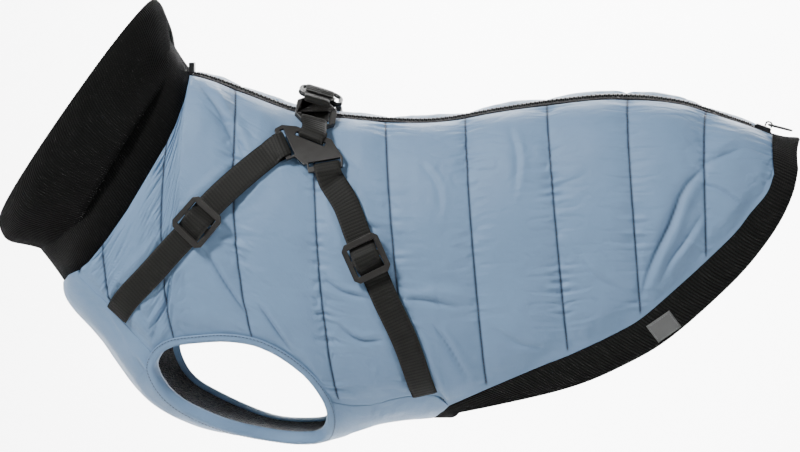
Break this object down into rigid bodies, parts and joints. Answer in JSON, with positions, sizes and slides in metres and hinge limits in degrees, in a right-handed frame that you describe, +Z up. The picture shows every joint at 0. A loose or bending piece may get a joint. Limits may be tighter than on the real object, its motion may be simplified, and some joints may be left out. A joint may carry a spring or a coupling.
{
  "type": "dog winter coat",
  "caption": "Padded dog coat with a folded rib collar, back zip, leg openings, rib hem and a built-in harness of webbing with a leash ring.",
  "frame": {"origin": "inside of the coat on the middle line of the wearer's back, under the leash ring", "axes": "+X towards the tail along the back, +Y to the wearer's right, +Z up from the back"},
  "size_m": [0.622, 0.1854, 0.3478],
  "materials": {
    "quilted_cloth": "matt satin weave, quilted",
    "fleece": "short brushed pile",
    "rib_knit": "fine rib knit",
    "zip_tape": "flat woven tape",
    "zip_plastic": "moulded",
    "webbing": "flat woven webbing with cross ribs",
    "harness_plastic": "moulded, fine grain",
    "dark_metal": "dark plated",
    "label": "woven patch, bare"
  },
  "bodies": {
    "coat": {"adjuster_front_left": "harness_plastic", "adjuster_front_right": "harness_plastic", "adjuster_rear_left": "harness_plastic", "adjuster_rear_right": "harness_plastic", "back_strap": "webbing", "bridge": "webbing", "chest_lining": "fleece", "chest_panel": "quilted_cloth", "collar": "rib_knit", "connector_plate_left": "harness_plastic", "connector_plate_right": "harness_plastic", "hem_band": "rib_knit", "label": "label", "leg_binding_left": "quilted_cloth", "leg_binding_right": "quilted_cloth", "link_frame_left": "harness_plastic", "link_frame_right": "harness_plastic", "link_loop_left": "webbing", "link_loop_right": "webbing", "ring_keeper": "webbing", "side_lining_left": "fleece", "side_lining_right": "fleece", "side_panel_left": "quilted_cloth", "side_panel_right": "quilted_cloth", "slider_bridge": "dark_metal", "strap_front_left": "webbing", "strap_front_right": "webbing", "strap_rear_left": "webbing", "strap_rear_right": "webbing", "zip_block": "zip_plastic", "zip_slider": "dark_metal", "zip_tape_left": "zip_tape", "zip_tape_right": "zip_tape", "zip_teeth": "zip_plastic"},
    "zip_pull": {"zip_pull": "dark_metal"},
    "leash_ring": {"leash_ring": "dark_metal"}
  },
  "joints": [
    {"name": "leash_ring_hinge", "type": "hinge", "parent": "coat", "child": "leash_ring", "pos_m": [-0.0005, 0, 0.0171], "axis": [0.9563, 0, -0.2924], "range_deg": [0, 140]},
    {"name": "zip_pull_hinge", "type": "hinge", "parent": "coat", "child": "zip_pull", "pos_m": [0.34597, -0.00163, 0.00003], "axis": [0, -1, 0], "range_deg": [0, 150]}
  ]
}
